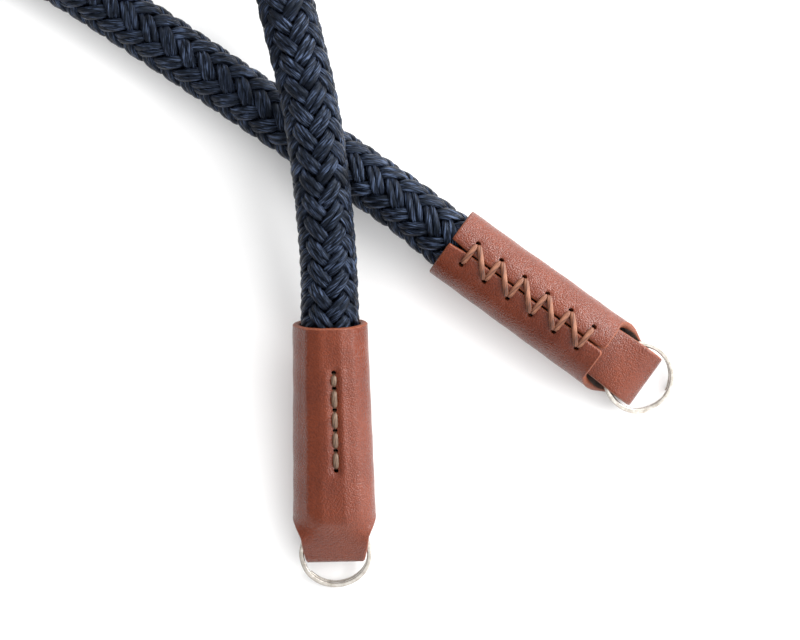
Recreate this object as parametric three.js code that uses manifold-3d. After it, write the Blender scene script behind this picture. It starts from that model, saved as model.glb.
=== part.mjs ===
// Rope neck strap for a camera. A braided rope runs in one long loop between two leather ends.
// Each end is one piece of leather: a wrap laced shut round the rope, and a tongue that goes on
// from its front, folds round a split ring and tucks back inside the wrap.
// Millimetres, +Z up. The strap lies on the plane z = 0 with its two ends crossed, and the origin is
// on that plane under the middle of the box round the two ends.
import * as THREE from "three";
import { mergeVertices } from "three/addons/utils/BufferGeometryUtils.js";
import Module from "manifold-3d";

const { degToRad, lerp, smoothstep } = THREE.MathUtils;

// Rope
const ROPE_DIAMETER = 12;
const ROPE_SIDES = 12;
const ROPE_STEPS = 72;
const ROPE_HELD = 29; // length of rope inside each leather end

// Leather end: the wrap
const CLEARANCE = 0.3; // between the rope and the leather round it
const LEATHER = 1.45; // thickness
const WRAP_LENGTH = 38.5;
const WRAP_RADIUS = ROPE_DIAMETER / 2 + CLEARANCE + LEATHER;
const WRAP_ROWS = [0, 10, 20, 30, 34.5, WRAP_LENGTH]; // distances from the mouth
const WRAP_SINK = 0.5; // how much lower the wrap is past the rope's end
const FRONT_FLAT = 0.3; // depth that the front is pressed flat
const SEAM_GAP = 0.7;
const HALF_COLUMNS = 12; // grid columns from the front line to the seam

// Leather end: the tongue
const TONGUE_COLUMN = 3; // column of the tongue's edge
const SHOULDER_COLUMN = 8; // column where the wrap's lower edge meets the shoulder
const SHOULDER_LENGTH = 8.5; // over which the front narrows to the tongue
const SHOULDER_ROWS = 4;
const SHOULDER_HOLLOW = 0.45; // power of the cut from the wrap to the tongue, 1 for a straight one
const FLATTEN_FROM = 1; // distances past the wrap between which the round front goes flat
const FLATTEN_TO = 9;
const SPREAD_RISE = [2, 6]; // distances past the wrap over which a tongue spreads
const SPREAD_FALL = [7.5, 16]; // and over which it narrows again
const FOLD_RADIUS = 2.9; // outside of the fold round the ring
const TAIL_CURL = 0.09; // curvature across the tail, which lies along the round back

// Punched holes
const HOLE_SIDES = 8;
const HOLE_DEPTH = 4; // length of the punch, well over the leather's thickness
const LACE_HOLES = 6; // in each of the two rows beside the seam
const LACE_HOLE_RADIUS = 0.57;
const LACE_START = 4.5;
const LACE_PITCH = 5.9;
const LACE_ANGLE = 22; // degrees round the wrap from the seam to a row
const STITCH_HOLE_RADIUS = 0.5;
const STITCH_ROWS = [9, 12.3, 16.8, 21.1, 25.3, 29.5]; // distances from the mouth
const STITCH_OFFSET = -0.6; // of the stitch row from the front line

// Split ring: two flat turns of wire, one on the other
const RING_DIAMETER = 15.2;
const WIRE_WIDTH = 1;
const WIRE_HEIGHT = 0.8;
const WIRE_CHAMFER = 0.15;
const TURN_GAP = 0.15;
const JOG_ANGLE = 50; // degrees over which the wire steps from one turn to the other
const RING_STEPS = 58;

// The two ends. mouth is the rope's centre at the wrap's mouth, heading turns the end in the plan,
// pitch dips its ring, roll 180 lays it front down, flare is what the wrap gains in half width, and
// spread is how much wider, as a share, the tongue is before its fold.
// tongue is the run of the leather past the wrap, seen from the side, one row for each straight or
// bend, with the curl across it at the row's end. ring gives the ring's middle, in distance from
// the mouth and depth below the front, its tilt, and where round it the wire steps.
const ENDS = [
  {
    letter: "a",
    mouth: [-32.03, 15.87, 12.69],
    heading: 181.2,
    pitch: -9,
    roll: 0,
    flare: 0.85,
    spread: 0.18,
    tongue: [
      { radius: 5, turn: 34, cells: 3, curl: 0 },
      { length: 9.4, cells: 4, curl: 0 },
      { radius: FOLD_RADIUS, turn: 142, cells: 7, curl: 0 },
      { length: 8.6, cells: 3, curl: TAIL_CURL },
      { length: 7.8, cells: 2, curl: TAIL_CURL },
    ],
    ring: { along: 48.7, depth: 8.8, tilt: -15.5, step: 15 },
  },
  {
    letter: "b",
    mouth: [-6.81, 32.97, WRAP_RADIUS],
    heading: 234.2,
    pitch: 0,
    roll: 180,
    flare: 0.25,
    spread: 0,
    tongue: [
      { length: 8.75, cells: 5, curl: 0 },
      { radius: FOLD_RADIUS, turn: 95, cells: 5, curl: 0 },
      { radius: 6.5, turn: 65, cells: 4, curl: 0 },
      { length: 8.9, cells: 4, curl: TAIL_CURL },
      { radius: 4, turn: 20, cells: 2, curl: TAIL_CURL },
      { length: 5.2, cells: 2, curl: TAIL_CURL },
    ],
    ring: { along: 48.3, depth: 3.15, tilt: 17, step: 105 },
  },
];

// The rope's route between the two mouths, from end a over end b's rope, round the loop, to end b
const ROPE_ROUTE = [
  [-32.33, 28.1, 14.5],
  [-33.33, 40.6, 16.7],
  [-34.7, 52.1, 18.6],
  [-36.6, 63.6, 19.3],
  [-41.4, 83.4, 18],
  [-45.8, 104.1, 14.6],
  [-41.7, 126.1, 10.4],
  [-27.2, 145.6, 7.5],
  [-8.2, 162.1, 6.3],
  [9.3, 180.1, 6.05],
  [20.8, 202.1, 6.05],
  [22.3, 226.1, 6.05],
  [11.3, 246.1, 6.05],
  [-9.2, 257.1, 6.05],
  [-34.2, 260.1, 6.05],
  [-60.2, 258.1, 6.05],
  [-84.7, 249.6, 6.05],
  [-103.7, 234.1, 6.05],
  [-114.7, 212.1, 6.05],
  [-119.2, 186.1, 6.05],
  [-120.2, 160.1, 6.05],
  [-119.2, 135.1, 6.05],
  [-114.7, 113.1, 6.05],
  [-103.2, 98.1, 6.05],
  [-81.7, 84.4, 6.05],
  [-58.7, 69.2, 6.05],
  [-35.2, 53.4, 6.15],
  [-25.7, 46.9, 6.7],
  [-16.3, 40.4, 7.4],
];

const ROPE_COLOUR = 0x2d3246;
const LEATHER_COLOUR = 0x8a4a35;
const RING_COLOUR = 0xd4d2cc;

const manifold = await Module();
manifold.setup();

const WELD_DISTANCE = 1e-4; // corners nearer than this are one

// Geometry from a list of Vector3 corners and a flat list of triangle indices
function meshGeometry(corners, triangles) {
  const geometry = new THREE.BufferGeometry().setFromPoints(corners);
  geometry.setIndex(triangles);
  geometry.computeVertexNormals();
  return geometry;
}

function solidOf(geometry) {
  const bare = geometry.clone();
  bare.deleteAttribute("normal");
  bare.deleteAttribute("uv");
  const merged = mergeVertices(bare, WELD_DISTANCE);
  return new manifold.Manifold(
    new manifold.Mesh({
      numProp: 3,
      vertProperties: merged.attributes.position.array,
      triVerts: new Uint32Array(merged.index.array),
    }),
  );
}

function geometryOf(solid) {
  const mesh = solid.getMesh();
  const geometry = new THREE.BufferGeometry();
  geometry.setAttribute("position", new THREE.BufferAttribute(mesh.vertProperties, 3));
  geometry.setIndex(new THREE.BufferAttribute(mesh.triVerts, 1));
  geometry.computeVertexNormals();
  return geometry;
}

// Depth below the front of a point at an angle round the wrap, measured from the front line
function wrapDepth(angle, halfHeight) {
  const turn = 1 - Math.cos(angle);
  if (Math.abs(angle) > Math.PI / 2) return halfHeight * turn;
  return Math.max(0, (halfHeight + FRONT_FLAT) * turn - FRONT_FLAT);
}

function wrapShape(end, along) {
  return {
    halfWidth: WRAP_RADIUS + (end.flare * along) / WRAP_LENGTH,
    halfHeight: WRAP_RADIUS - WRAP_SINK * smoothstep(along, ROPE_HELD, WRAP_LENGTH),
  };
}

// Where the middle line of the tongue's outer face has got to, a distance past the wrap
function tongueAt(end, run) {
  const place = { along: WRAP_LENGTH, depth: 0, heading: 0, curl: 0 };
  let left = run;
  for (const [number, part] of end.tongue.entries()) {
    const turn = degToRad(part.turn ?? 0);
    const length = turn ? part.radius * turn : part.length;
    const last = number === end.tongue.length - 1;
    const share = last ? left / length : Math.min(left / length, 1);
    const halfTurn = (turn * share) / 2;
    const chord = turn ? 2 * part.radius * Math.sin(halfTurn) : length * share;
    place.along += chord * Math.cos(place.heading + halfTurn);
    place.depth += chord * Math.sin(place.heading + halfTurn);
    place.heading += turn * share;
    place.curl = lerp(place.curl, part.curl, Math.min(share, 1));
    left -= length * share;
    if (share < 1) break;
  }
  return place;
}

// A point of the leather's outer face, from its distance along the leather from the mouth and
// its distance across from the front line
function leatherPoint(end, distance, across) {
  const angle = across / WRAP_RADIUS;
  const { halfWidth, halfHeight } = wrapShape(end, Math.min(distance, WRAP_LENGTH));
  const roundAcross = halfWidth * Math.sin(angle);
  const roundDepth = wrapDepth(angle, halfHeight);
  const run = distance - WRAP_LENGTH;
  if (run <= 0) return new THREE.Vector3(roundAcross, distance, WRAP_RADIUS - roundDepth);
  const { along, depth, heading, curl } = tongueAt(end, run);
  const curledAcross = curl ? Math.sin(curl * across) / curl : across;
  const curledDepth = curl ? (1 - Math.cos(curl * across)) / curl : 0;
  const flat = smoothstep(run, FLATTEN_FROM, FLATTEN_TO);
  const wider = end.spread * smoothstep(run, ...SPREAD_RISE) * (1 - smoothstep(run, ...SPREAD_FALL));
  const x = lerp(roundAcross, curledAcross * (1 + wider), flat);
  const y = along - flat * Math.sin(heading) * curledDepth;
  const z = WRAP_RADIUS - depth - lerp(roundDepth, Math.cos(heading) * curledDepth, flat);
  return new THREE.Vector3(x, y, z);
}

// The point of the inner face under a point of the outer one
function leatherBack(end, distance, across) {
  const nudge = 0.05;
  const at = (further, wider) => leatherPoint(end, distance + further, across + wider);
  const onward = at(nudge, 0).sub(at(-nudge, 0));
  const sideways = at(0, nudge).sub(at(0, -nudge));
  const outward = sideways.cross(onward).normalize();
  return at(0, 0).addScaledVector(outward, -LEATHER);
}

// How far past the wrap the shoulder's cut lies on a column
function shoulderReach(column) {
  const share = (Math.abs(column) - TONGUE_COLUMN) / (SHOULDER_COLUMN - TONGUE_COLUMN);
  return SHOULDER_LENGTH * (1 - Math.max(share, 0) ** SHOULDER_HOLLOW);
}

// The grid of the flat leather: rows from the mouth to the end of the tail, each a Map from column
// to distance. The wrap has all the columns, the shoulders fewer and the tongue the middle ones.
function leatherGrid(end) {
  const row = (halfColumns, distanceOf) => {
    const columns = Array.from({ length: 2 * halfColumns + 1 }, (_, i) => i - halfColumns);
    return new Map(columns.map((column) => [column, distanceOf(column)]));
  };
  const rows = WRAP_ROWS.map((distance) => row(HALF_COLUMNS, () => distance));
  for (let step = 1; step <= SHOULDER_ROWS; step++) {
    const share = step / SHOULDER_ROWS;
    rows.push(row(SHOULDER_COLUMN, (column) => WRAP_LENGTH + shoulderReach(column) * share));
  }
  let run = 0;
  for (const part of end.tongue) {
    const length = part.turn ? part.radius * degToRad(part.turn) : part.length;
    for (let cell = 1; cell <= part.cells; cell++) {
      const distance = WRAP_LENGTH + run + (length * cell) / part.cells;
      if (distance > WRAP_LENGTH + SHOULDER_LENGTH) rows.push(row(TONGUE_COLUMN, () => distance));
    }
    run += length;
  }
  return rows;
}

// A solid sheet of leather: its outer face on the grid, its inner face the leather's thickness
// below that, and walls that join the two round the sheet's edge
function leatherSheet(end) {
  const columnWidth = (Math.PI * WRAP_RADIUS - SEAM_GAP / 2) / HALF_COLUMNS;
  const rows = leatherGrid(end);
  const index = new Map();
  const outer = [];
  const inner = [];
  const corner = (row, column) => {
    const distance = row.get(column);
    const key = `${distance},${column}`;
    if (!index.has(key)) {
      index.set(key, outer.length);
      outer.push(leatherPoint(end, distance, column * columnWidth));
      inner.push(leatherBack(end, distance, column * columnWidth));
    }
    return index.get(key);
  };

  const faces = [];
  for (let r = 1; r < rows.length; r++) {
    const before = rows[r - 1];
    const after = rows[r];
    for (const column of after.keys()) {
      if (!after.has(column + 1)) continue;
      const a = corner(before, column);
      const b = corner(before, column + 1);
      const c = corner(after, column + 1);
      const d = corner(after, column);
      if (b !== c) faces.push([a, b, c]);
      if (a !== d) faces.push([a, c, d]);
    }
  }

  const count = outer.length;
  const triangles = [];
  const edges = new Set();
  for (const [a, b, c] of faces) {
    triangles.push(a, b, c, count + a, count + c, count + b);
    edges.add(`${a},${b}`).add(`${b},${c}`).add(`${c},${a}`);
  }
  for (const edge of edges) {
    const [from, to] = edge.split(",").map(Number);
    if (edges.has(`${to},${from}`)) continue;
    triangles.push(to, from, count + from, to, count + from, count + to);
  }
  return meshGeometry([...outer, ...inner], triangles);
}

// A punch through the wrap at an angle round it from the front line
function punch(end, along, angle, offset, radius) {
  const { halfWidth, halfHeight } = wrapShape(end, along);
  const outward = new THREE.Vector3(Math.sin(angle), 0, Math.cos(angle));
  const geometry = new THREE.CylinderGeometry(radius, radius, HOLE_DEPTH, HOLE_SIDES);
  const up = new THREE.Vector3(0, 1, 0);
  geometry.applyQuaternion(new THREE.Quaternion().setFromUnitVectors(up, outward));
  const x = halfWidth * Math.sin(angle) + offset;
  const z = WRAP_RADIUS - wrapDepth(angle, halfHeight);
  geometry.translate(x, along, z);
  return solidOf(geometry);
}

function leatherEnd(end) {
  let solid = solidOf(leatherSheet(end));
  for (let hole = 0; hole < LACE_HOLES; hole++) {
    for (const side of [-1, 1]) {
      const angle = side * degToRad(180 - LACE_ANGLE);
      const along = LACE_START + LACE_PITCH * hole;
      solid = solid.subtract(punch(end, along, angle, 0, LACE_HOLE_RADIUS));
    }
  }
  for (const along of STITCH_ROWS) {
    solid = solid.subtract(punch(end, along, 0, STITCH_OFFSET, STITCH_HOLE_RADIUS));
  }
  return geometryOf(solid);
}

// Corners of the wire's chamfered section, as radial and axial distances from its middle
function wireSection() {
  const w = WIRE_WIDTH / 2;
  const h = WIRE_HEIGHT / 2;
  const c = WIRE_CHAMFER;
  const quarter = [
    [w, h - c],
    [w - c, h],
  ];
  const half = [...quarter, ...quarter.map(([x, y]) => [-x, y]).reverse()];
  return [...half, ...half.map(([x, y]) => [-x, -y])];
}

// Two turns of wire round +Z. The wire starts just past the step in the lower turn, rises through
// the step, and ends just before it in the upper turn.
function splitRing() {
  const section = wireSection();
  const radius = (RING_DIAMETER - WIRE_WIDTH) / 2;
  const lift = (WIRE_HEIGHT + TURN_GAP) / 2;
  const corners = [];
  const triangles = [];
  for (let step = 0; step <= RING_STEPS; step++) {
    const degrees = lerp(JOG_ANGLE / 2, 720 - JOG_ANGLE / 2, step / RING_STEPS);
    const rise = smoothstep(degrees, 360 - JOG_ANGLE / 2, 360 + JOG_ANGLE / 2);
    const height = lerp(-lift, lift, rise);
    const angle = degToRad(degrees);
    for (const [radial, axial] of section) {
      const reach = radius + radial;
      corners.push(new THREE.Vector3(reach * Math.cos(angle), reach * Math.sin(angle), height + axial));
    }
  }
  const sides = section.length;
  for (let step = 0; step < RING_STEPS; step++) {
    for (let side = 0; side < sides; side++) {
      const a = step * sides + side;
      const b = step * sides + ((side + 1) % sides);
      triangles.push(a, a + sides, b, b, a + sides, b + sides);
    }
  }
  const last = RING_STEPS * sides;
  for (let side = 1; side < sides - 1; side++) {
    triangles.push(0, side, side + 1);
    triangles.push(last, last + side + 1, last + side);
  }
  return meshGeometry(corners, triangles);
}

function ropeGeometry(points) {
  const section = new THREE.Shape();
  for (let side = 0; side < ROPE_SIDES; side++) {
    const angle = ((side + 0.5) * 2 * Math.PI) / ROPE_SIDES;
    const x = (ROPE_DIAMETER / 2) * Math.cos(angle);
    const y = (ROPE_DIAMETER / 2) * Math.sin(angle);
    if (side) section.lineTo(x, y);
    else section.moveTo(x, y);
  }
  section.closePath();
  const route = new THREE.CatmullRomCurve3(points);
  return new THREE.ExtrudeGeometry(section, { steps: ROPE_STEPS, extrudePath: route });
}

const leatherMaterial = new THREE.MeshStandardMaterial({
  color: LEATHER_COLOUR,
  roughness: 0.55,
  metalness: 0,
});
const ringMaterial = new THREE.MeshStandardMaterial({
  color: RING_COLOUR,
  roughness: 0.25,
  metalness: 1,
});
const ropeMaterial = new THREE.MeshStandardMaterial({
  color: ROPE_COLOUR,
  roughness: 0.9,
  metalness: 0,
});

const strap = new THREE.Group();

function named(name, geometry, material) {
  const mesh = new THREE.Mesh(geometry, material);
  mesh.name = name;
  return mesh;
}

const heldRope = [];
for (const end of ENDS) {
  const group = new THREE.Group();
  group.position.set(...end.mouth);
  group.rotation.set(degToRad(end.pitch), degToRad(end.roll), degToRad(end.heading), "ZXY");
  group.add(named(`leather_end_${end.letter}`, leatherEnd(end), leatherMaterial));

  const ring = named(`split_ring_${end.letter}`, splitRing(), ringMaterial);
  ring.position.set(0, end.ring.along, WRAP_RADIUS - end.ring.depth);
  ring.rotation.set(degToRad(end.ring.tilt), 0, degToRad(end.ring.step));
  group.add(ring);
  strap.add(group);

  const inside = [ROPE_HELD, ROPE_HELD / 2, 0].map((along) =>
    new THREE.Vector3(0, along, 0).applyEuler(group.rotation).add(group.position),
  );
  heldRope.push(inside);
}

const ropePoints = [
  ...heldRope[0],
  ...ROPE_ROUTE.map((place) => new THREE.Vector3(...place)),
  ...heldRope[1].reverse(),
];
strap.add(named("rope", ropeGeometry(ropePoints), ropeMaterial));

export default strap;
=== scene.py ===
"""Rope camera strap: a braided rope between two laced leather ends, each with a split ring.

Sizes are in millimetres until a mesh is made, and all points are in the part's frame.
"""
import math

import bpy
import numpy as np
from mathutils import Matrix, Vector


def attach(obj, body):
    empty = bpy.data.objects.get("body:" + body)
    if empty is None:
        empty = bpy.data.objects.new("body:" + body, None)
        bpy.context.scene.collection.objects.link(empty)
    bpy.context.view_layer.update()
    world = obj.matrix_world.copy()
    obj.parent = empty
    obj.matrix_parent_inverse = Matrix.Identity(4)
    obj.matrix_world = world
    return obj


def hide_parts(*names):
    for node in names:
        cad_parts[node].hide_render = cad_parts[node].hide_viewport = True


MM = 0.001

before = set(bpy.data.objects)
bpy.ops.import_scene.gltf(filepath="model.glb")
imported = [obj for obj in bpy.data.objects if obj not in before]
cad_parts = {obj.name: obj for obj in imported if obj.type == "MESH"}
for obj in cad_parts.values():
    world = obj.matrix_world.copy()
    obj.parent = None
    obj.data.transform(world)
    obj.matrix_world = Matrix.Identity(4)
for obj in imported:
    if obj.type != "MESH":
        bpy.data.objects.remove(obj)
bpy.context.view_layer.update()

# Camera: straight down on the two ends
VIEW_CENTRE = (-17.555, 16.737)
VIEW_WIDTH = 166.67
VIEW_HEIGHT = 7.0  # height above the floor at which the view has that width
CAMERA_DISTANCE = 1000.0
SENSOR_WIDTH = 36.0

# Room: its light by direction, as stops with a place and a level
BRIGHT_SIDE = (0.85, 0.3, 0.45)
ROOM_SIDES = ((0.1, 0.1), (0.4, 0.3), (0.75, 0.8), (1.0, 0.8))  # from the dim side to the bright one
ROOM_HEIGHTS = ((0.35, 0.9), (0.65, 0.95), (0.88, 0.6), (1.0, 0.36))  # from the floor to overhead
ROOM_STRENGTH = 3.5
FLOOR_HALF_WIDTH = 3000.0
FLOOR_LEVEL = -0.05

# Lights, in metres and watts: name, place, aim, width, height, power, colour
LIGHTS = (
    ("key", (0.6, 0.5, 0.95), (0, 0.03, 0), 0.8, 0.8, 3.0, (1, 0.985, 0.96)),
    ("strip", (0.763, 0.067, 0.643), (0, 0, 0), 0.6, 0.14, 2.6, (1, 1, 1)),
    ("window", (0.72, 0.44, 0.22), (0, 0.03, 0.01), 0.85, 0.26, 9.5, (1, 1, 1)),
)

# Rope
ROPE_DIAMETER = 12.0
ROPE_HELD = 29.0  # length of rope inside each leather end
ROPE_SHEEN = (0.55, 0.7, 1.0, 1.0)  # tint of the yarns' highlights
LEAD = 38.0  # length of one turn of a strand
STRANDS = 8  # in each direction
FLOATS = STRANDS // 2  # times that a strand comes up in one turn
YARNS = 2  # side by side in each strand
YARN_STEPS = 16  # from one float to the next
YARN_SIDES = 8
SPARE_TURNS = 2  # of each yarn past the rope's ends, before it is trimmed there
DIVE_STEPS = 0.5  # how much closer the steps are where a yarn dives
DIVE_STEEPNESS = 2.0
DIVE_SPREAD = 0.6  # shares of a yarn's offset, width and height that are left where it dives
DIVE_WIDTH = 0.78
DIVE_HEIGHT = 0.88
BRAID_RADIUS = 4.5  # middle of the yarns' way in and out
BRAID_WAVE = 0.8
MOUTH_SWELL = 0.2  # what the braid gains where it enters the leather
MOUTH_SWELL_LENGTH = 6.0
YARN_HALF_WIDTH = 0.86
YARN_HALF_HEIGHT = 0.78
YARN_SPACING = 0.9  # share of the strand that its yarns fill
SLOW_SWAY = 0.1  # how far a yarn strays, in two waves by the angle round the rope
SLOW_SWAY_RATE = 0.83
FAST_SWAY = 0.08
FAST_SWAY_RATE = 2.1
PLUMPNESS = 0.05  # how much its width varies
PLUMPNESS_RATE = 1.3
STRAND_PHASE = 1.7  # what sets the waves of one yarn apart from the next
YARN_PHASE = 2.9
WAY_PHASE = 0.8
BRAID_TURN_A = 22.5  # degrees that the braid is turned about its axis at each end
BRAID_TURN_B = 0.0

# Leather
CLEARANCE = 0.3
LEATHER = 1.45
WRAP_LENGTH = 38.5
WRAP_RADIUS = ROPE_DIAMETER / 2 + CLEARANCE + LEATHER
HALF_ROUND = math.pi * WRAP_RADIUS  # from the front line round to the seam
WRAP_SINK = 0.5  # what the wrap loses in half its height past the rope's end
FRONT_FLAT = 0.3  # how far the front is pressed flat
SHOULDER_LENGTH = 8.5
SHOULDER_HOLLOW = 0.45
FLATTEN_FROM = 1.0  # distances past the wrap over which a tongue flattens
FLATTEN_TO = 9.0
SPREAD_RISE = (2.0, 6.0)  # over which it spreads
SPREAD_FALL = (7.5, 16.0)  # and over which it narrows again
FOLD_RADIUS = 2.9
TAIL_CURL = 0.09
LEAST_CURL = 1e-6  # what a flat tongue counts as
EDGE_ROUND = 0.3  # how far a cut edge bulges
EDGE_PROFILE = ((0.16, 0.72), (0.5, 1.0), (0.84, 0.72))  # share of the thickness, share of the bulge
GRAIN, EDGE, FLESH = range(3)  # order of a leather end's materials
LEATHER_SHARP = 50  # degrees from which an edge between faces stays sharp

# The leather's relief on the wrap
BROAD_WAVE = (0.05, 0.31, 0.9, 0.42, 0.4)  # height, then rate and phase along and across
FINE_WAVE = (0.03, 0.83, 0.5)  # height, then rate along and across
RIDGE_HEIGHT = 0.26  # of the ridges beside the pressed front
RIDGE_OFFSET = 5.0
RIDGE_HALF_WIDTH = 1.1
DENT_DEPTH = 0.3  # of the leather round a lacing hole
DENT_RADIUS = 0.9
GROOVE_DEPTH = 0.42  # along the front stitches
GROOVE_HALF_WIDTH = 0.85
GROOVE_RUN_OUT = 1.4
LIP_HEIGHT = 0.16  # on both sides of the groove
LIP_OFFSET = 1.6
LIP_HALF_WIDTH = 0.75
RELIEF_FADE = (WRAP_LENGTH - 1, WRAP_LENGTH + 3)

# The leather's grid: columns from the front line to the seam, with their distance across
COLUMNS = 60
TONGUE_COLUMN = 15
SHOULDER_COLUMN = 40
TONGUE_HALF_WIDTH = 6.0 - EDGE_ROUND
SHOULDER_HALF_WIDTH = 16.0
ROW_STEP = 0.4
MOUTH_ROWS = (0, 0.1, 0.25)  # distances from the mouth
EVEN_ROWS_FROM = 0.5
EVEN_ROWS_TO = WRAP_LENGTH - 0.9
FLAP_ROWS = (0.6, 0.35, 0.15, 0.04, 0.0)  # distances from the wrap's lower edge
SHOULDER_ROWS = 20

# The seam at the back, as its half gap
SEAM_HALF_GAP = 0.16
MOUTH_NOTCH = 0.35  # what it gains at the mouth
MOUTH_NOTCH_LENGTH = 4.0
FLAP_CORNER = 0.7  # radius of the flaps' lower corners

# Lacing. Heights and thicknesses go by the distance from a hole.
LACE_HOLES = 6
LACE_START = 4.5
LACE_PITCH = 5.9
LACE_OFFSET = 2.92  # of a row from the seam
LACE_STAGGER = 0.2
LACE_HOLE_RADIUS = 0.57
LACE_HALF_WIDTH = 0.6
LACE_HALF_HEIGHT = 0.4
LACE_SLIP = 0.24  # from the middle of a hole to the thread in it
LACE_LIFTS = (0.3, 0.52)  # heights of the straight and the slanting threads over the leather
LACE_DIVE = ((0, -1.7), (0.12, -0.7), (0.35, -0.05))
LACE_BOW = ((0.7, -0.06), (1.2, 0.0), (9, 0.05))  # further from a hole, added to the lift
LACE_TAPER = ((0, 0.55), (0.4, 0.75), (1.0, 1.0))

# Front stitches
STITCH_ROWS = (9.0, 12.3, 16.8, 21.1, 25.3, 29.5)
STITCH_OFFSET = -0.6
STITCH_HOLE_RADIUS = 0.5
STITCH_HALF_WIDTH = 0.6
STITCH_HALF_HEIGHT = 0.42
STITCH_SLIP = 0.38
STITCH_HEIGHTS = ((0, -1.5), (0.25, -0.75), (0.6, -0.28), (1.1, -0.1), (2.5, -0.05))
STITCH_TAPER = ((0, 0.75), (0.4, 0.92), (1.2, 1.0))

# All holes and threads
HOLE_SIDES = 20
PUNCH_ABOVE = 1.2  # how far a punch reaches past the two sides of the leather
PUNCH_BELOW = 0.7
THREAD_SIDES = 12
THREAD_POINTS = 41
THREAD_EASE = 0.35  # how much closer its points are at both ends
THREAD_FLOOR = 0.03  # no thread lies lower than this

# Split ring
RING_DIAMETER = 15.2
WIRE_WIDTH = 1.0
WIRE_HEIGHT = 0.8
WIRE_SQUARENESS = 0.42  # power that makes the round section nearly square
TURN_GAP = 0.15
JOG_ANGLE = 50.0
RING_STEPS = 220
WIRE_SIDES = 20
RING_SHARP = 40

# Each end's mouth, the way it lies, and its tongue as straight lengths and bends, with their curl
ENDS = {
    "a": {
        "mouth": (-32.03, 15.87, 12.69),
        "heading": 181.2,
        "pitch": -9,
        "roll": 0,
        "flare": 0.85,
        "spread": 0.18,
        "tongue": (
            {"radius": 5, "turn": 34, "curl": 0},
            {"length": 9.4, "curl": 0},
            {"radius": FOLD_RADIUS, "turn": 142, "curl": 0},
            {"length": 8.6, "curl": TAIL_CURL},
            {"length": 7.8, "curl": TAIL_CURL},
        ),
        "ring": {"along": 48.7, "depth": 8.8, "tilt": -15.5, "step": 15},
    },
    "b": {
        "mouth": (-6.81, 32.97, WRAP_RADIUS),
        "heading": 234.2,
        "pitch": 0,
        "roll": 180,
        "flare": 0.25,
        "spread": 0,
        "tongue": (
            {"length": 8.75, "curl": 0},
            {"radius": FOLD_RADIUS, "turn": 95, "curl": 0},
            {"radius": 6.5, "turn": 65, "curl": 0},
            {"length": 8.9, "curl": TAIL_CURL},
            {"radius": 4, "turn": 20, "curl": TAIL_CURL},
            {"length": 5.2, "curl": TAIL_CURL},
        ),
        "ring": {"along": 48.3, "depth": 3.15, "tilt": 17, "step": 105},
    },
}

# The rope's way from the mouth of end a round to that of end b
ROPE_ROUTE = (
    (-32.33, 28.1, 14.5), (-33.33, 40.6, 16.7), (-34.7, 52.1, 18.6), (-36.6, 63.6, 19.3),
    (-41.4, 83.4, 18), (-45.8, 104.1, 14.6), (-41.7, 126.1, 10.4), (-27.2, 145.6, 7.5),
    (-8.2, 162.1, 6.3), (9.3, 180.1, 6.05), (20.8, 202.1, 6.05), (22.3, 226.1, 6.05),
    (11.3, 246.1, 6.05), (-9.2, 257.1, 6.05), (-34.2, 260.1, 6.05), (-60.2, 258.1, 6.05),
    (-84.7, 249.6, 6.05), (-103.7, 234.1, 6.05), (-114.7, 212.1, 6.05), (-119.2, 186.1, 6.05),
    (-120.2, 160.1, 6.05), (-119.2, 135.1, 6.05), (-114.7, 113.1, 6.05), (-103.2, 98.1, 6.05),
    (-81.7, 84.4, 6.05), (-58.7, 69.2, 6.05), (-35.2, 53.4, 6.15), (-25.7, 46.9, 6.7),
    (-16.3, 40.4, 7.4),
)


# Materials

def srgb(r, g, b):
    """A colour on the screen's scale of 0 to 255, as the linear one that shaders take."""
    def linear(c):
        c /= 255
        return c / 12.92 if c <= 0.04045 else ((c + 0.055) / 1.055) ** 2.4
    return (linear(r), linear(g), linear(b), 1.0)


def grey(level):
    return (level, level, level, 1)


def set_stops(ramp, stops):
    """Gives a colour ramp its stops, each as a place and a colour."""
    elements = ramp.color_ramp.elements
    while len(elements) < len(stops):
        elements.new(0.5)
    for element, (place, colour) in zip(elements, stops):
        element.position = place
        element.color = colour


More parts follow.
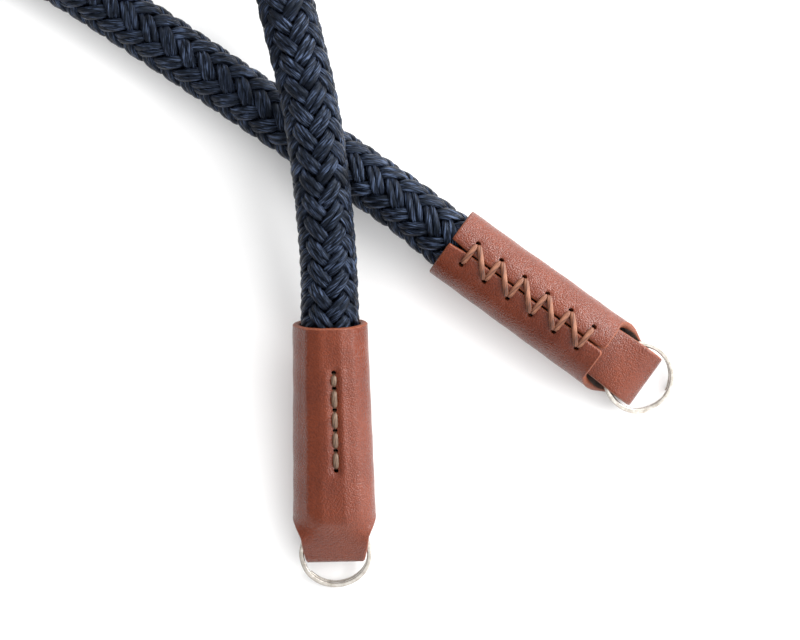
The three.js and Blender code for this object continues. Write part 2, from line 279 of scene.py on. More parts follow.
class Nodes:
    """A material's node tree with short calls to add and join nodes."""

    def __init__(self, name, **shader):
        self.material = bpy.data.materials.new(name)
        self.material.use_nodes = True
        self.tree = self.material.node_tree
        self.shader = self.tree.nodes["Principled BSDF"]
        for key, value in shader.items():
            self.shader.inputs[key.replace("_", " ")].default_value = value

    def feed(self, socket, value):
        if isinstance(value, bpy.types.NodeSocket):
            self.tree.links.new(value, socket)
        else:
            socket.default_value = value

    def add(self, kind, inputs=None, **settings):
        node = self.tree.nodes.new("ShaderNode" + kind)
        for key, value in settings.items():
            setattr(node, key, value)
        for key, value in (inputs or {}).items():
            self.feed(node.inputs[key], value)
        return node

    def ramp(self, factor, *stops):
        node = self.add("ValToRGB", {"Fac": factor})
        set_stops(node, stops)
        return node.outputs["Color"]

    def value(self, factor, low, high):
        node = self.add("MapRange", {"Value": factor, "To Min": low, "To Max": high})
        return node.outputs["Result"]

    def multiply(self, factor, a, b):
        """Two colours multiplied, as far as the factor goes."""
        node = self.add("Mix", {0: factor, 6: a, 7: b}, data_type="RGBA", blend_type="MULTIPLY")
        return node.outputs[2]

    def subtract(self, a, b):
        node = self.add("Math", {0: a, 1: b}, operation="SUBTRACT")
        return node.outputs[0]

    def place(self, output, size=(1, 1, 1), turn=0.0):
        """Coordinates in which one unit has the size given, turned in their plane first."""
        coordinates = self.add("TexCoord").outputs[output]
        inputs = {"Vector": coordinates, "Scale": size, "Rotation": (0, 0, math.radians(turn))}
        return self.add("Mapping", inputs, vector_type="TEXTURE").outputs["Vector"]

    def noise(self, vector, scale, detail, roughness):
        inputs = {"Vector": vector, "Scale": scale, "Detail": detail, "Roughness": roughness}
        return self.add("TexNoise", inputs).outputs["Fac"]

    def bump(self, height, distance, strength, normal=None):
        inputs = {"Height": height, "Distance": distance, "Strength": strength}
        if normal is not None:
            inputs["Normal"] = normal
        return self.add("Bump", inputs).outputs["Normal"]

    def finish(self, **sockets):
        for key, value in sockets.items():
            self.tree.links.new(value, self.shader.inputs[key.replace("_", " ")])
        return self.material


def rope_material():
    nodes = Nodes("rope_yarn", Roughness=0.32, Specular_IOR_Level=0.2, Specular_Tint=ROPE_SHEEN)
    along_yarn = nodes.place("UV", size=(0.27, 3.4, 1), turn=15)
    fibres = nodes.noise(along_yarn, scale=1.0, detail=3.0, roughness=0.6)
    along_ply = nodes.place("UV", size=(0.62, 6.0, 1), turn=15)
    plies = nodes.noise(along_ply, scale=1.0, detail=1.5, roughness=0.5)
    tone = nodes.noise(nodes.place("Object"), scale=230.0, detail=2.0, roughness=0.5)
    # The fibres' colour runs from near black to a light bluish grey: the rope's dark navy, with painted
    # shade on the darkest fibres and painted sheen on the lightest
    colour = nodes.ramp(
        fibres,
        (0.42, srgb(1, 2, 4)), (0.53, srgb(7, 9, 16)), (0.63, srgb(69, 81, 104)),
    )
    shade = nodes.ramp(tone, (0.3, (0.5, 0.52, 0.56, 1)), (0.7, (1.3, 1.3, 1.32, 1)))
    colour = nodes.multiply(1.0, colour, shade)
    normal = nodes.bump(plies, distance=0.0005, strength=0.6)
    normal = nodes.bump(fibres, distance=0.0003, strength=1.0, normal=normal)
    return nodes.finish(Base_Color=colour, Normal=normal)


def leather_material():
    nodes = Nodes("leather_grain", Specular_IOR_Level=0.36)
    place = nodes.place("Object")
    cells = nodes.add("TexVoronoi", {"Vector": place, "Scale": 2900.0, "Randomness": 1.0}, feature="F1")
    pebble = cells.outputs["Distance"]
    pores = nodes.noise(place, scale=5200.0, detail=3.0, roughness=0.6)
    creases = nodes.noise(place, scale=1300.0, detail=4.0, roughness=0.6)
    patches = nodes.noise(place, scale=120.0, detail=3.0, roughness=0.5)
    colour = nodes.ramp(
        patches,
        (0.25, srgb(89, 32, 9)), (0.5, srgb(97, 37, 11)), (0.75, srgb(105, 42, 14)),
    )
    # Darker where the crease bump is low: partly the leather's own mottled tone, partly painted shade in
    # the creases
    crease_tone_and_shade = nodes.ramp(creases, (0.32, (0.86, 0.84, 0.82, 1)), (0.68, grey(1.1)))
    colour = nodes.multiply(0.8, colour, crease_tone_and_shade)
    # Darker in the hollows between the pebbles and lighter on their tops: partly the grain's own tone,
    # partly painted shade in the hollows and painted light on the tops
    pit_tone_and_shade = nodes.ramp(pebble, (0.25, (1.08, 1.07, 1.07, 1)), (0.7, (0.76, 0.73, 0.71, 1)))
    colour = nodes.multiply(0.7, colour, pit_tone_and_shade)
    rough = nodes.value(creases, low=0.2, high=0.29)
    normal = nodes.bump(creases, distance=0.0001, strength=0.35)
    normal = nodes.bump(nodes.subtract(1.0, pebble), distance=0.00012, strength=0.85, normal=normal)
    normal = nodes.bump(pores, distance=0.00004, strength=0.35, normal=normal)
    return nodes.finish(Base_Color=colour, Roughness=rough, Normal=normal)


def edge_material():
    nodes = Nodes("leather_edge", Roughness=0.55, Specular_IOR_Level=0.4)
    place = nodes.place("Object")
    layers = nodes.noise(place, scale=2600.0, detail=4.0, roughness=0.65)
    patches = nodes.noise(place, scale=350.0, detail=2.0, roughness=0.5)
    colour = nodes.ramp(
        layers,
        (0.3, srgb(86, 38, 20)), (0.55, srgb(120, 60, 34)), (0.8, srgb(146, 84, 54)),
    )
    shade = nodes.ramp(patches, (0.3, grey(0.82)), (0.7, grey(1.08)))
    colour = nodes.multiply(1.0, colour, shade)
    normal = nodes.bump(layers, distance=0.0001, strength=0.6)
    return nodes.finish(Base_Color=colour, Normal=normal)


def flesh_material():
    nodes = Nodes("leather_flesh", Roughness=0.9, Specular_IOR_Level=0.2, Sheen_Weight=0.15)
    place = nodes.place("Object")
    fibres = nodes.noise(place, scale=1900.0, detail=5.0, roughness=0.7)
    tufts = nodes.noise(place, scale=500.0, detail=3.0, roughness=0.6)
    colour = nodes.ramp(
        fibres,
        (0.3, srgb(36, 20, 13)), (0.55, srgb(66, 40, 27)), (0.8, srgb(100, 68, 48)),
    )
    normal = nodes.bump(tufts, distance=0.0003, strength=0.6)
    normal = nodes.bump(fibres, distance=0.0002, strength=0.9, normal=normal)
    return nodes.finish(Base_Color=colour, Normal=normal)


def thread_material(name, dark, middle, light):
    nodes = Nodes(name, Roughness=0.5, Specular_IOR_Level=0.4)
    along_thread = nodes.place("UV", size=(0.26, 3.0, 1), turn=8)
    strands = nodes.noise(along_thread, scale=1.0, detail=2.5, roughness=0.55)
    tone = nodes.noise(nodes.place("Object"), scale=420.0, detail=2.0, roughness=0.5)
    colour = nodes.ramp(strands, (0.3, srgb(*dark)), (0.5, srgb(*middle)), (0.7, srgb(*light)))
    shade = nodes.ramp(tone, (0.3, (0.84, 0.82, 0.8, 1)), (0.7, grey(1.06)))
    colour = nodes.multiply(1.0, colour, shade)
    normal = nodes.bump(strands, distance=0.00022, strength=0.8)
    return nodes.finish(Base_Color=colour, Normal=normal)


def ring_material():
    nodes = Nodes("nickel", Metallic=1.0)
    wear = nodes.noise(nodes.place("Object"), scale=700.0, detail=3.0, roughness=0.6)
    along_wire = nodes.place("Object", size=(1, 1, 0.1))
    scratches = nodes.noise(along_wire, scale=1800.0, detail=3.0, roughness=0.6)
    colour = nodes.ramp(wear, (0.3, srgb(160, 153, 143)), (0.7, srgb(200, 195, 188)))
    rough = nodes.value(wear, low=0.07, high=0.16)
    normal = nodes.bump(scratches, distance=0.00001, strength=0.5)
    return nodes.finish(Base_Color=colour, Roughness=rough, Normal=normal)


def floor_material():
    nodes = Nodes("floor", Roughness=0.7, Specular_IOR_Level=0.1)
    grain = nodes.noise(nodes.place("Object"), scale=40.0, detail=2.0, roughness=0.5)
    colour = nodes.ramp(grain, (0.3, grey(0.9)), (0.7, grey(0.92)))
    return nodes.finish(Base_Color=colour)


# Meshes

def smoothstep(x, low, high):
    share = np.clip((x - low) / (high - low), 0, 1)
    return share * share * (3 - 2 * share)


def lerp(a, b, share):
    return a + (b - a) * share


def unit(vectors):
    return vectors / np.linalg.norm(vectors, axis=-1, keepdims=True)


def run_along(line):
    """Distance along a line at each of its points."""
    return np.concatenate(([0.0], np.cumsum(np.linalg.norm(np.diff(line, axis=0), axis=1))))


def make_object(name, corners, faces, materials, face_materials=None, face_uvs=None, sharp=None):
    """An object from corners in millimetres. face_uvs holds one pair for each corner of each face."""
    mesh = bpy.data.meshes.new(name)
    mesh.from_pydata((np.asarray(corners) * MM).tolist(), [], [list(map(int, face)) for face in faces])
    for material in materials:
        mesh.materials.append(material)
    if face_materials is not None:
        mesh.polygons.foreach_set("material_index", np.asarray(face_materials, dtype=np.int32))
    mesh.polygons.foreach_set("use_smooth", np.ones(len(mesh.polygons), dtype=bool))
    if face_uvs is not None:
        layer = mesh.uv_layers.new(name="UVMap")
        layer.data.foreach_set("uv", np.asarray(face_uvs, dtype=np.float32).ravel())
    mesh.validate()
    if sharp:
        mesh.set_sharp_from_angle(angle=math.radians(sharp))
    obj = bpy.data.objects.new(name, mesh)
    bpy.context.scene.collection.objects.link(obj)
    return obj


class Tubes:
    """Corners, faces and UVs of closed tubes that are joined into one mesh."""

    def __init__(self):
        self.corners, self.faces, self.uvs = [], [], []
        self.count = 0

    def add(self, path, upward, half_widths, half_heights, sides):
        """A tube along path. upward is the way its height points, as far as it is square to the path."""
        tangents = unit(np.gradient(path, axis=0))
        across = unit(np.cross(tangents, upward))
        height = np.cross(across, tangents)
        # The first side lies underneath, and with it the UVs' seam
        angles = -math.pi / 2 + np.arange(sides) * 2 * math.pi / sides
        ring = (np.cos(angles)[None, :, None] * (across * half_widths[:, None])[:, None, :]
                + np.sin(angles)[None, :, None] * (height * half_heights[:, None])[:, None, :])
        corners = path[:, None, :] + ring
        steps = len(path)
        length = run_along(path)
        girth = 2 * math.pi * math.sqrt(half_widths.max() * half_heights.max())
        grids = np.meshgrid(np.arange(steps - 1), np.arange(sides), indexing="ij")
        i, j = (grid.ravel() for grid in grids)
        k = (j + 1) % sides
        quads = np.stack((i * sides + j, i * sides + k, (i + 1) * sides + k, (i + 1) * sides + j), axis=1)
        around = girth * np.stack((j, j + 1, j + 1, j), axis=1) / sides
        along = np.stack((length[i], length[i], length[i + 1], length[i + 1]), axis=1)
        self.corners.append(corners.reshape(-1, 3))
        self.faces.extend((quads + self.count).tolist())
        self.uvs.append(np.stack((around, along), axis=2).reshape(-1, 2))
        for step, order in ((0, -1), (steps - 1, 1)):
            cap = (self.count + step * sides + np.arange(sides))[::order]
            self.faces.append(cap.tolist())
            self.uvs.append(np.stack((np.cos(angles), np.sin(angles)), axis=1) * 0.5)
        self.count += steps * sides

    def make(self, name, materials, floor=None):
        corners = np.concatenate(self.corners)
        if floor is not None:
            corners[:, 2] = np.maximum(corners[:, 2], floor)
        return make_object(name, corners, self.faces, materials, face_uvs=np.concatenate(self.uvs))


# Rope

def end_rotation(end):
    turns = (("heading", "Z"), ("pitch", "X"), ("roll", "Y"))
    matrix = Matrix.Identity(3)
    for key, axis in turns:
        matrix = matrix @ Matrix.Rotation(math.radians(end[key]), 3, axis)
    return np.array(matrix)


def placed(end, points):
    """Points of an end's own frame, in the part's frame."""
    return np.asarray(points) @ end_rotation(end).T + np.array(end["mouth"])


def held_rope(end):
    return placed(end, [(0, along, 0) for along in (ROPE_HELD, ROPE_HELD / 2, 0)])


def smooth_route(points, steps=40):
    """A centripetal Catmull-Rom curve through the points."""
    padded = np.vstack((2 * points[0] - points[1], points, 2 * points[-1] - points[-2]))
    share = np.linspace(0, 1, steps, endpoint=False)[:, None]
    line = []
    for p0, p1, p2, p3 in zip(padded, padded[1:], padded[2:], padded[3:]):
        d0, d1, d2 = (math.sqrt(np.linalg.norm(b - a)) for a, b in ((p0, p1), (p1, p2), (p2, p3)))
        leave = ((p1 - p0) / d0 - (p2 - p0) / (d0 + d1) + (p2 - p1) / d1) * d1
        reach = ((p2 - p1) / d1 - (p3 - p1) / (d1 + d2) + (p3 - p2) / d2) * d1
        line.append(p1 + leave * share + (3 * (p2 - p1) - 2 * leave - reach) * share ** 2
                    + (2 * (p1 - p2) + leave + reach) * share ** 3)
    return np.vstack((*line, points[-1:]))


class Route:
    """The rope's centreline by distance along it, with two directions across it that don't twist."""

    def __init__(self, points, spacing=0.5):
        line = smooth_route(points)
        run = run_along(line)
        self.length = run[-1]
        self.run = np.linspace(0, self.length, int(self.length / spacing) + 1)
        self.line = np.stack([np.interp(self.run, run, line[:, axis]) for axis in range(3)], axis=1)
        tangents = unit(np.gradient(self.line, axis=0))
        side = np.array((0.0, 0.0, 1.0))
        sides = []
        for tangent in tangents:
            side = unit(side - tangent * (side @ tangent))
            sides.append(side)
        self.first = np.array(sides)
        self.second = np.cross(tangents, self.first)

    def at(self, distance, table):
        return np.stack([np.interp(distance, self.run, table[:, axis]) for axis in range(3)], axis=1)


def add_yarn(tubes, route, phase, way, strand, yarn):
    """One yarn of the braid. way is the sense in which its strand turns round the rope."""
    pitch = LEAD / (2 * math.pi)
    offset = (yarn - (YARNS - 1) / 2) * YARN_SPACING * LEAD / STRANDS / YARNS
    start = 2 * math.pi * (strand + (0 if way > 0 else 0.5)) / STRANDS
    angle = phase / FLOATS - way * start - offset / (2 * pitch)
    lift = way * np.cos(phase)
    over = (1 + lift) / 2
    own = STRAND_PHASE * strand + YARN_PHASE * yarn + WAY_PHASE * way
    sway = (SLOW_SWAY * np.sin(SLOW_SWAY_RATE * angle + own)
            + FAST_SWAY * np.sin(FAST_SWAY_RATE * angle + 2 * own))
    distance = angle * pitch + offset * lerp(DIVE_SPREAD, 1.0, over) + sway
    keep = (distance >= 0) & (distance <= route.length)
    angle, lift, over, distance = angle[keep], lift[keep], over[keep], distance[keep]
    turn = np.radians(lerp(BRAID_TURN_A, BRAID_TURN_B, distance / route.length))
    place = start + way * angle + turn
    outward = (route.at(distance, route.first) * np.cos(place)[:, None]
               + route.at(distance, route.second) * np.sin(place)[:, None])
    wave = np.tanh(DIVE_STEEPNESS * lift) / math.tanh(DIVE_STEEPNESS)
    inset = np.minimum(distance, route.length - distance) - ROPE_HELD
    swell = MOUTH_SWELL * np.exp(-(inset / MOUTH_SWELL_LENGTH) ** 2)
    radius = BRAID_RADIUS + BRAID_WAVE * wave + swell
    path = route.at(distance, route.line) + outward * radius[:, None]
    plump = 1 + PLUMPNESS * np.sin(PLUMPNESS_RATE * angle + 3 * own)
    width = YARN_HALF_WIDTH * lerp(DIVE_WIDTH, 1.0, over) * plump
    height = YARN_HALF_HEIGHT * lerp(DIVE_HEIGHT, 1.0, over)
    tubes.add(path, outward, width, height, YARN_SIDES)


def braid(route):
    """Yarns of the braid: in each direction eight strands, which pass over two and under two."""
    margin = SPARE_TURNS * 2 * math.pi
    whole = route.length / (LEAD / (2 * math.pi))
    even = np.arange(-FLOATS * margin, FLOATS * (whole + margin), 2 * math.pi / YARN_STEPS)
    # The yarn's place between floats, in steps that are closer where it dives
    phase = even + DIVE_STEPS * np.sin(2 * even) / 2
    pieces = []
    for way in (1, -1):
        for yarn in range(YARNS):
            tubes = Tubes()
            for strand in range(STRANDS):
                add_yarn(tubes, route, phase, way, strand, yarn)
            pieces.append(tubes)
    return pieces


# Leather ends

def wrap_shape(end, along):
    half_width = WRAP_RADIUS + end["flare"] * along / WRAP_LENGTH
    half_height = WRAP_RADIUS - WRAP_SINK * smoothstep(along, ROPE_HELD, WRAP_LENGTH)
    return half_width, half_height


def wrap_depth(angle, half_height):
    turn = 1 - np.cos(angle)
    front = np.maximum(0, (half_height + FRONT_FLAT) * turn - FRONT_FLAT)
    return np.where(np.abs(angle) > math.pi / 2, half_height * turn, front)


def tongue_length(part):
    return part["radius"] * math.radians(part["turn"]) if "turn" in part else part["length"]


def tongue_at(end, run):
    """Where a tongue is at distances past the wrap: along, depth, heading and curl."""
    along = np.full_like(run, WRAP_LENGTH)
    depth, heading, curl = np.zeros_like(run), np.zeros_like(run), np.zeros_like(run)
    left = run.copy()
    for part in end["tongue"]:
        turn = math.radians(part.get("turn", 0))
        length = tongue_length(part)
        share = np.maximum(left / length, 0)
        if part is not end["tongue"][-1]:
            share = np.minimum(share, 1)
        half_turn = turn * share / 2
        chord = 2 * part["radius"] * np.sin(half_turn) if turn else length * share
        along += chord * np.cos(heading + half_turn)
        depth += chord * np.sin(heading + half_turn)
        heading += turn * share
        curl = lerp(curl, part["curl"], np.minimum(share, 1))
        left -= length * share
    return along, depth, heading, curl


def leather_face(end, distance, across):
    """The leather's plain outer face, from the distance along it and the distance across it."""
    distance, across = np.broadcast_arrays(np.asarray(distance, float), np.asarray(across, float))
    angle = across / WRAP_RADIUS
    half_width, half_height = wrap_shape(end, np.minimum(distance, WRAP_LENGTH))
    round_across = half_width * np.sin(angle)
    round_depth = wrap_depth(angle, half_height)
    run = np.maximum(distance - WRAP_LENGTH, 0)
    along, depth, heading, curl = tongue_at(end, run)
    bent = np.maximum(curl, LEAST_CURL)
    curled_across = np.sin(bent * across) / bent
    curled_depth = (1 - np.cos(bent * across)) / bent
    flat = smoothstep(run, FLATTEN_FROM, FLATTEN_TO)
    wider = end["spread"] * smoothstep(run, *SPREAD_RISE) * (1 - smoothstep(run, *SPREAD_FALL))
    x = lerp(round_across, curled_across * (1 + wider), flat)
    y = np.where(run > 0, along - flat * np.sin(heading) * curled_depth, distance)
    z = WRAP_RADIUS - depth - lerp(round_depth, np.cos(heading) * curled_depth, flat)
    return np.stack((x, y, z), axis=-1)


def leather_normal(end, distance, across, nudge=0.05):
    onward = leather_face(end, distance + nudge, across) - leather_face(end, distance - nudge, across)
    sideways = leather_face(end, distance, across + nudge) - leather_face(end, distance, across - nudge)
    return unit(np.cross(sideways, onward))


def lace_rows():
    """The lacing's holes, as their distance from the mouth and from the seam."""
    rows = []
    for hole in range(LACE_HOLES):
        along = LACE_START + LACE_PITCH * hole
        rows.append((along - LACE_STAGGER, -LACE_OFFSET))
        rows.append((along + LACE_STAGGER, LACE_OFFSET))
    return rows


def bell(away, reach):
    return np.exp(-(away / reach) ** 2)


def relief(distance, across):
    """How far the outer face stands out from its plain form."""
    seam = HALF_ROUND - np.abs(across)
    side = np.sign(across)
    height, rate, phase, cross_rate, cross_phase = BROAD_WAVE
    out = height * np.sin(rate * distance + phase) * np.cos(cross_rate * across + cross_phase)
    height, rate, cross_rate = FINE_WAVE
    out += height * np.sin(rate * distance + cross_rate * across)
    out += RIDGE_HEIGHT * bell(np.abs(across) - RIDGE_OFFSET, RIDGE_HALF_WIDTH)
    for along, offset in lace_rows():
        out -= DENT_DEPTH * bell(np.hypot(distance - along, side * seam - offset), DENT_RADIUS)
    aside = across - STITCH_OFFSET
    first, last = STITCH_ROWS[0], STITCH_ROWS[-1]
    stitched = (smoothstep(distance, first - GROOVE_RUN_OUT, first)
                * (1 - smoothstep(distance, last, last + GROOVE_RUN_OUT)))
    out -= GROOVE_DEPTH * stitched * bell(aside, GROOVE_HALF_WIDTH)
    out += LIP_HEIGHT * stitched * bell(np.abs(aside) - LIP_OFFSET, LIP_HALF_WIDTH)
    return out * (1 - smoothstep(distance, *RELIEF_FADE))


def seam_half_gap(distance):
    gap = SEAM_HALF_GAP + MOUTH_NOTCH * (1 - smoothstep(distance, 0, MOUTH_NOTCH_LENGTH))
    reach = np.clip(distance - (WRAP_LENGTH - FLAP_CORNER), 0, FLAP_CORNER)
    return gap + FLAP_CORNER - np.sqrt(FLAP_CORNER ** 2 - reach ** 2)


def leather_grid(end):
    """Rows of the flat leather from the mouth to the tail, each as columns, distances and widths."""
    middle = np.interp(np.arange(SHOULDER_COLUMN + 1), (0, TONGUE_COLUMN, SHOULDER_COLUMN),
                       (0, TONGUE_HALF_WIDTH, SHOULDER_HALF_WIDTH))

    def row(half_columns, distance_of, half_width=None):
        columns = np.arange(-half_columns, half_columns + 1)
        size = np.abs(columns)
        across = middle[np.minimum(size, SHOULDER_COLUMN)]
        if half_width is not None:
            share = np.clip((size - SHOULDER_COLUMN) / (COLUMNS - SHOULDER_COLUMN), 0, 1)
            across = lerp(across, half_width, share)
        return columns, distance_of(size), np.sign(columns) * across

    count = int((EVEN_ROWS_TO - EVEN_ROWS_FROM) / ROW_STEP)
    body = np.linspace(EVEN_ROWS_FROM, EVEN_ROWS_TO, count)
    rows = []
    for distance in np.concatenate((MOUTH_ROWS, body, WRAP_LENGTH - np.array(FLAP_ROWS))):
        half = HALF_ROUND - EDGE_ROUND - float(seam_half_gap(distance))
        rows.append(row(COLUMNS, lambda size, d=distance: np.full(size.shape, d), half))
    for step in range(1, SHOULDER_ROWS + 1):
        def reach(size, share=step / SHOULDER_ROWS):
            beyond = np.maximum(size - TONGUE_COLUMN, 0) / (SHOULDER_COLUMN - TONGUE_COLUMN)
            return WRAP_LENGTH + SHOULDER_LENGTH * (1 - beyond ** SHOULDER_HOLLOW) * share
        rows.append(row(SHOULDER_COLUMN, reach))
    whole = sum(tongue_length(part) for part in end["tongue"])
    count = int((whole - SHOULDER_LENGTH) / ROW_STEP)
    for run in np.linspace(SHOULDER_LENGTH, whole, count + 1)[1:]:
        rows.append(row(TONGUE_COLUMN, lambda size, d=WRAP_LENGTH + run: np.full(size.shape, d)))
    return rows


def leather_sheet(end):
    """Corners, faces and face materials of a leather end: grain side, cut edge and flesh side."""
    index, distances, widths, table = {}, [], [], []
    for columns, distance, across in leather_grid(end):
        line = {}
        for column, d, w in zip(columns, distance, across):
            key = (round(float(d), 5), int(column))
            if key not in index:
                index[key] = len(distances)
                distances.append(d)
                widths.append(w)
            line[int(column)] = index[key]
        table.append(line)
    distances, widths = np.array(distances), np.array(widths)
    normals = leather_normal(end, distances, widths)
    plain = leather_face(end, distances, widths)
    outer = plain + normals * relief(distances, widths)[:, None]
    inner = plain - normals * LEATHER
    grain, edges = [], set()
    for before, after in zip(table, table[1:]):
        for column in after:
            if column + 1 not in after:
                continue
            loop = [before[column], before[column + 1], after[column + 1], after[column]]
            loop = [a for n, a in enumerate(loop) if a != loop[n - 1]]
            grain.append(loop)
            edges.update((a, loop[(n + 1) % len(loop)]) for n, a in enumerate(loop))
    rim = [edge for edge in edges if edge[::-1] not in edges]
    outward = np.zeros_like(outer)
    for a, b in rim:
        push = np.cross(plain[b] - plain[a], normals[a])
        push /= np.linalg.norm(push)
        outward[a] += push
        outward[b] += push
    rim_corners = sorted({a for edge in rim for a in edge})
    outward[rim_corners] = unit(outward[rim_corners])
    # From the grain side, with the rim's corners over again in each layer of the edge, to the flesh
    layers = [outer]
    rim_index = [{a: a for a in rim_corners}]
    base = len(outer)
    for share, bulge in EDGE_PROFILE:
        rim_index.append({a: base + n for n, a in enumerate(rim_corners)})
        layers.append(lerp(outer[rim_corners], inner[rim_corners], share)
                      + outward[rim_corners] * EDGE_ROUND * bulge)
        base += len(rim_corners)
    rim_index.append({a: base + a for a in rim_corners})
    layers.append(inner)
    flesh = [[base + a for a in reversed(loop)] for loop in grain]
    walls = []
    for upper, lower in zip(rim_index, rim_index[1:]):
        for a, b in rim:
            walls.append([upper[b], upper[a], lower[a], lower[b]])
    kinds = [GRAIN] * len(grain) + [FLESH] * len(flesh) + [EDGE] * len(walls)
    return np.concatenate(layers), grain + flesh + walls, kinds


def punches(end):
    """One mesh of all the punches through an end."""
    corners, faces = [], []
    holes = [(along, HALF_ROUND - offset, LACE_HOLE_RADIUS) for along, offset in lace_rows()]
    holes += [(along, STITCH_OFFSET, STITCH_HOLE_RADIUS) for along in STITCH_ROWS]
    angles = np.arange(HOLE_SIDES) * 2 * math.pi / HOLE_SIDES
    for along, across, radius in holes:
        centre = leather_face(end, along, across)
        outward = leather_normal(end, np.array(along), np.array(across))
        right = unit(np.cross((0, 1, 0), outward))
        up = np.cross(outward, right)
        circle = radius * (np.cos(angles)[:, None] * right + np.sin(angles)[:, None] * up)
        base = len(corners) * HOLE_SIDES
        corners.append(centre - outward * (LEATHER + PUNCH_BELOW) + circle)
        corners.append(centre + outward * PUNCH_ABOVE + circle)
        low, high = base + np.arange(HOLE_SIDES), base + HOLE_SIDES + np.arange(HOLE_SIDES)
        faces.append(low[::-1].tolist())
        faces.append(high.tolist())
        for n in range(HOLE_SIDES):
            m = (n + 1) % HOLE_SIDES
            faces.append([low[n], low[m], high[m], high[n]])
    return placed(end, np.concatenate(corners)), faces


def cut(obj, cutter):
    modifier = obj.modifiers.new("holes", "BOOLEAN")
    modifier.operation = "DIFFERENCE"
    modifier.solver = "EXACT"
    modifier.object = cutter
    graph = bpy.context.evaluated_depsgraph_get()
    whole = obj.data
    obj.data = bpy.data.meshes.new_from_object(obj.evaluated_get(graph))
    obj.data.name = obj.name
    obj.modifiers.clear()
    bpy.data.meshes.remove(whole)
    bpy.data.objects.remove(cutter)


def leather_end(letter, end, materials):
    corners, faces, kinds = leather_sheet(end)
    corners = placed(end, corners)
    corners[:, 2] = np.maximum(corners[:, 2], 0)
    obj = make_object(f"leather_wrap_{letter}", corners, faces, materials, kinds)
    holes, hole_faces = punches(end)
    cutter = make_object("punches", holes, hole_faces, materials, [EDGE] * len(hole_faces))
    cut(obj, cutter)
    obj.data.set_sharp_from_angle(angle=math.radians(LEATHER_SHARP))
    return obj


def add_thread(tubes, end, begin, close, heights, taper, half_width, half_height):
    """A thread from one hole to another, with its height above the leather and its taper."""
    share = np.linspace(0, 1, THREAD_POINTS)
    share = smoothstep(share, 0, 1) * THREAD_EASE + share * (1 - THREAD_EASE)
    distance = lerp(begin[0], close[0], share)
    across = lerp(begin[1], close[1], share)
    length = math.hypot(close[0] - begin[0], close[1] - begin[1])
    away = np.minimum(share, 1 - share) * length
    height = np.interp(away, *zip(*heights))
    thickness = np.interp(away, *zip(*taper))
    normal = leather_normal(end, distance, across)
    path = placed(end, leather_face(end, distance, across) + normal * height[:, None])
    upward = normal @ end_rotation(end).T
    tubes.add(path, upward, half_width * thickness, half_height * thickness, THREAD_SIDES)


def lacing(end):
    tubes = Tubes()
    rows = lace_rows()
    for number, ((t0, q0), (t1, q1)) in enumerate(zip(rows, rows[1:])):
        lift = LACE_LIFTS[number % 2]
        heights = LACE_DIVE + tuple((away, lift + rise) for away, rise in LACE_BOW)
        slip = LACE_SLIP / math.hypot(t1 - t0, q1 - q0)
        begin = (lerp(t0, t1, slip), HALF_ROUND - lerp(q0, q1, slip))
        close = (lerp(t1, t0, slip), HALF_ROUND - lerp(q1, q0, slip))
        add_thread(tubes, end, begin, close, heights, LACE_TAPER, LACE_HALF_WIDTH, LACE_HALF_HEIGHT)
    return tubes


def stitches(end):
    tubes = Tubes()
    for t0, t1 in zip(STITCH_ROWS, STITCH_ROWS[1:]):
        begin = (t0 + STITCH_SLIP, STITCH_OFFSET)
        close = (t1 - STITCH_SLIP, STITCH_OFFSET)
        add_thread(tubes, end, begin, close, STITCH_HEIGHTS, STITCH_TAPER,
                   STITCH_HALF_WIDTH, STITCH_HALF_HEIGHT)
    return tubes


# Split rings

def split_ring(end):
    """Two flat turns of wire, the second stepping up on the first."""
    degrees = np.linspace(JOG_ANGLE / 2, 720 - JOG_ANGLE / 2, RING_STEPS)
    lift = (WIRE_HEIGHT + TURN_GAP) / 2
    height = lerp(-lift, lift, smoothstep(degrees, 360 - JOG_ANGLE / 2, 360 + JOG_ANGLE / 2))
    radius = (RING_DIAMETER - WIRE_WIDTH) / 2
    angle = np.radians(degrees)
    around = (np.arange(WIRE_SIDES) + 0.5) * 2 * math.pi / WIRE_SIDES
    radial = WIRE_WIDTH / 2 * np.sign(np.cos(around)) * np.abs(np.cos(around)) ** WIRE_SQUARENESS
    axial = WIRE_HEIGHT / 2 * np.sign(np.sin(around)) * np.abs(np.sin(around)) ** WIRE_SQUARENESS
    reach = radius + radial[None, :]
    corners = np.stack((reach * np.cos(angle)[:, None], reach * np.sin(angle)[:, None],
                        height[:, None] + axial[None, :]), axis=2)
    tilt, spin = (math.radians(end["ring"][key]) for key in ("tilt", "step"))
    turn = np.array(Matrix.Rotation(tilt, 3, "X") @ Matrix.Rotation(spin, 3, "Z"))
    middle = np.array((0, end["ring"]["along"], WRAP_RADIUS - end["ring"]["depth"]))
    corners = placed(end, corners.reshape(-1, 3) @ turn.T + middle)
    faces = []
    for step in range(RING_STEPS - 1):
        for side in range(WIRE_SIDES):
            a, b = step * WIRE_SIDES + side, step * WIRE_SIDES + (side + 1) % WIRE_SIDES
            faces.append([a, a + WIRE_SIDES, b + WIRE_SIDES, b])
    last = (RING_STEPS - 1) * WIRE_SIDES
    faces.append(list(range(WIRE_SIDES)))
    faces.append(list(range(last + WIRE_SIDES - 1, last - 1, -1)))
    return corners, faces


# The scene

def add_camera():
    camera = bpy.data.cameras.new("camera")
    camera.sensor_fit = "HORIZONTAL"
    camera.sensor_width = SENSOR_WIDTH
    camera.lens = SENSOR_WIDTH * CAMERA_DISTANCE / VIEW_WIDTH
    obj = bpy.data.objects.new("camera", camera)
    obj.location = (VIEW_CENTRE[0] * MM, VIEW_CENTRE[1] * MM, (VIEW_HEIGHT + CAMERA_DISTANCE) * MM)
    bpy.context.scene.collection.objects.link(obj)
    bpy.context.scene.camera = obj


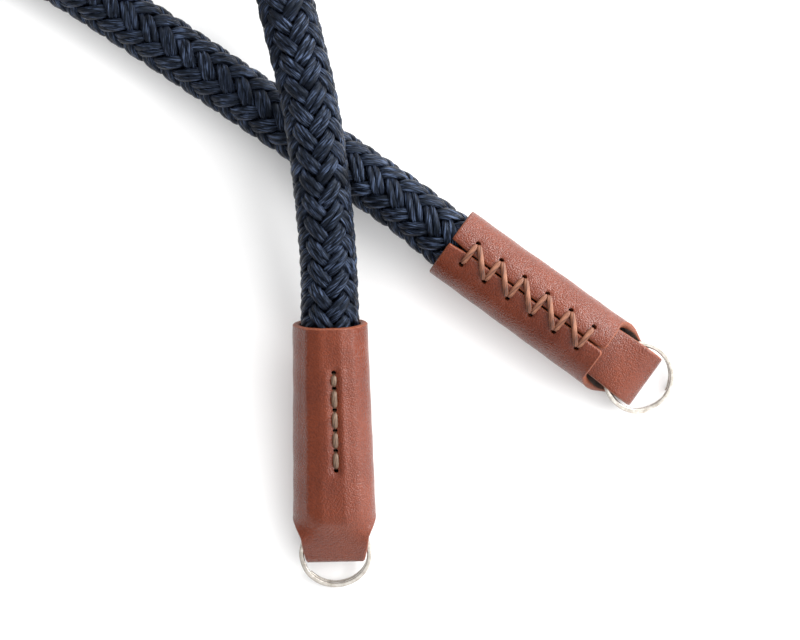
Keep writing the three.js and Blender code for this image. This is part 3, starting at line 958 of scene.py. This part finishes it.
def add_light(name, place, aim, width, height, power, colour):
    light = bpy.data.lights.new(name, "AREA")
    light.shape = "ELLIPSE" if width == height else "RECTANGLE"
    light.size = width
    light.size_y = height
    light.energy = power
    light.color = colour
    obj = bpy.data.objects.new(name, light)
    offset = np.array(aim) - np.array(place)
    obj.location = place
    obj.rotation_euler = Vector(offset).to_track_quat("-Z", "Y").to_euler()
    bpy.context.scene.collection.objects.link(obj)


def add_world():
    """A soft room that is bright on the right, dim on the left and dimmer overhead than all round."""
    world = bpy.data.worlds.new("studio")
    world.use_nodes = True
    tree = world.node_tree
    coordinates = tree.nodes.new("ShaderNodeTexCoord").outputs["Generated"]

    def level(direction, lowest, stops):
        aim = tree.nodes.new("ShaderNodeVectorMath")
        aim.operation = "DOT_PRODUCT"
        aim.inputs[1].default_value = Vector(direction).normalized()
        share = tree.nodes.new("ShaderNodeMapRange")
        share.inputs["From Min"].default_value = lowest
        ramp = tree.nodes.new("ShaderNodeValToRGB")
        set_stops(ramp, [(place, grey(value)) for place, value in stops])
        tree.links.new(coordinates, aim.inputs[0])
        tree.links.new(aim.outputs["Value"], share.inputs["Value"])
        tree.links.new(share.outputs["Result"], ramp.inputs["Fac"])
        return ramp.outputs["Color"]

    both = tree.nodes.new("ShaderNodeMix")
    both.data_type = "RGBA"
    both.blend_type = "MULTIPLY"
    both.inputs[0].default_value = 1.0
    tree.links.new(level(BRIGHT_SIDE, -1, ROOM_SIDES), both.inputs[6])
    tree.links.new(level((0, 0, 1), 0, ROOM_HEIGHTS), both.inputs[7])
    background = tree.nodes["Background"]
    tree.links.new(both.outputs[2], background.inputs["Color"])
    background.inputs["Strength"].default_value = ROOM_STRENGTH
    bpy.context.scene.world = world


def add_stage():
    size = FLOOR_HALF_WIDTH
    corners = [(x, y, FLOOR_LEVEL) for x, y in ((-size, -size), (size, -size), (size, size), (-size, size))]
    make_object("floor", corners, [(0, 1, 2, 3)], [floor_material()])
    add_world()
    for light in LIGHTS:
        add_light(*light)
    bpy.context.scene.view_settings.view_transform = "Standard"


add_camera()
add_stage()

route = Route(np.vstack((held_rope(ENDS["a"]), np.array(ROPE_ROUTE), held_rope(ENDS["b"])[::-1])))
rope = rope_material()
for number, tubes in enumerate(braid(route), 1):
    piece = tubes.make(f"rope_braid_{number}", [rope])
    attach(piece, "root")
    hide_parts("rope")

leather = [leather_material(), edge_material(), flesh_material()]
lace_thread = thread_material("lace_thread", (64, 35, 23), (110, 66, 46), (146, 98, 74))
front_thread = thread_material("front_thread", (58, 42, 33), (95, 73, 58), (128, 104, 85))
nickel = ring_material()
for letter, end in ENDS.items():
    piece = leather_end(letter, end, leather)
    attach(piece, "root")
    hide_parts(f"leather_end_{letter}")
    threads = (("lacing", lacing(end), lace_thread), ("stitches", stitches(end), front_thread))
    for name, tubes, thread in threads:
        piece = tubes.make(f"{name}_{letter}", [thread], THREAD_FLOOR)
        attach(piece, "root")
    corners, faces = split_ring(end)
    piece = make_object(f"ring_{letter}", corners, faces, [nickel], sharp=RING_SHARP)
    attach(piece, "root")
    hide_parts(f"split_ring_{letter}")
